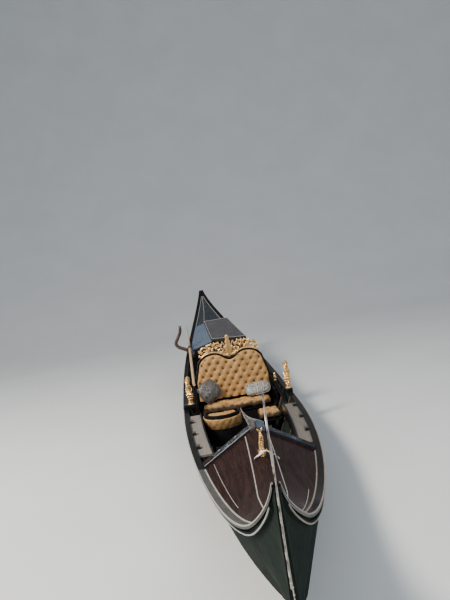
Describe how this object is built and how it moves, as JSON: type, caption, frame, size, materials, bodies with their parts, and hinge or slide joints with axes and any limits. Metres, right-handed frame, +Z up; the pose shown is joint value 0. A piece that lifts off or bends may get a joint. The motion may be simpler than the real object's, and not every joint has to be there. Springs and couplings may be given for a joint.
{
  "type": "gondola boat",
  "caption": "Flat-bottomed rowing boat with high curled ends, gabled bow deck, steel bow comb, padded passenger seat, loose chair and stool, rowlock and oar.",
  "frame": {"origin": "on the water's surface amidships, on the straight line between the stem and the stern post", "axes": "+X to the bow, +Y to port, +Z up; Z = 0 is the waterline"},
  "size_m": [10.8155, 1.558, 1.889],
  "materials": {
    "black_lacquer": "high gloss black varnish",
    "bottom_paint": "satin black underwater paint",
    "inner_wood": "dark oiled wood",
    "polished_steel": "polished, slightly weathered",
    "gilt_brass": "polished gilt",
    "gold_brocade": "buttoned gold brocade",
    "silver_cloth": "silver grey brocade",
    "grey_board": "worn grey paint",
    "grey_mat": "matt grey carpet",
    "walnut": "oiled walnut",
    "pale_wood": "varnished pale wood"
  },
  "bodies": {
    "root": {"bottom_planking": "bottom_paint", "side_planking_port_aft": "black_lacquer", "side_planking_port_middle": "black_lacquer", "side_planking_port_fore": "black_lacquer", "side_planking_starboard_aft": "black_lacquer", "side_planking_starboard_middle": "black_lacquer", "side_planking_starboard_fore": "black_lacquer", "gunwale_cap_port": "black_lacquer", "gunwale_cap_starboard": "black_lacquer", "rubbing_rail_port": "black_lacquer", "rubbing_rail_starboard": "black_lacquer", "stem_post": "bottom_paint", "stern_post": "bottom_paint", "frames": "inner_wood", "floorboards": "inner_wood", "aft_floor": "inner_wood", "bow_bulkhead": "black_lacquer", "stern_bulkhead": "black_lacquer", "bow_deck_port": "black_lacquer", "bow_deck_starboard": "black_lacquer", "bow_deck_ridge": "black_lacquer", "bow_beam_port": "black_lacquer", "bow_beam_starboard": "black_lacquer", "stern_deck_port": "black_lacquer", "stern_deck_starboard": "black_lacquer", "stern_deck_plate": "black_lacquer", "rowing_mat_board": "grey_mat", "ferro_bow": "polished_steel", "ferro_stern": "polished_steel", "side_board_port": "grey_board", "side_board_starboard": "grey_board", "figure_block_port": "black_lacquer", "figure_block_starboard": "black_lacquer", "brass_figure_port": "gilt_brass", "brass_figure_starboard": "gilt_brass", "bow_ornament": "gilt_brass", "bow_horn": "polished_steel", "forcola": "walnut", "forcola_block": "black_lacquer", "oar": "pale_wood", "seat_frame": "black_lacquer", "seat_back": "black_lacquer", "seat_back_pad": "gold_brocade", "seat_back_crest": "gilt_brass", "seat_cushion": "gold_brocade", "pillow_starboard": "silver_cloth", "pillow_port": "silver_cloth", "armchair_frame": "black_lacquer", "armchair_cushion": "gold_brocade", "stool_frame": "black_lacquer", "stool_cushion": "gold_brocade"}
  },
  "joints": []
}
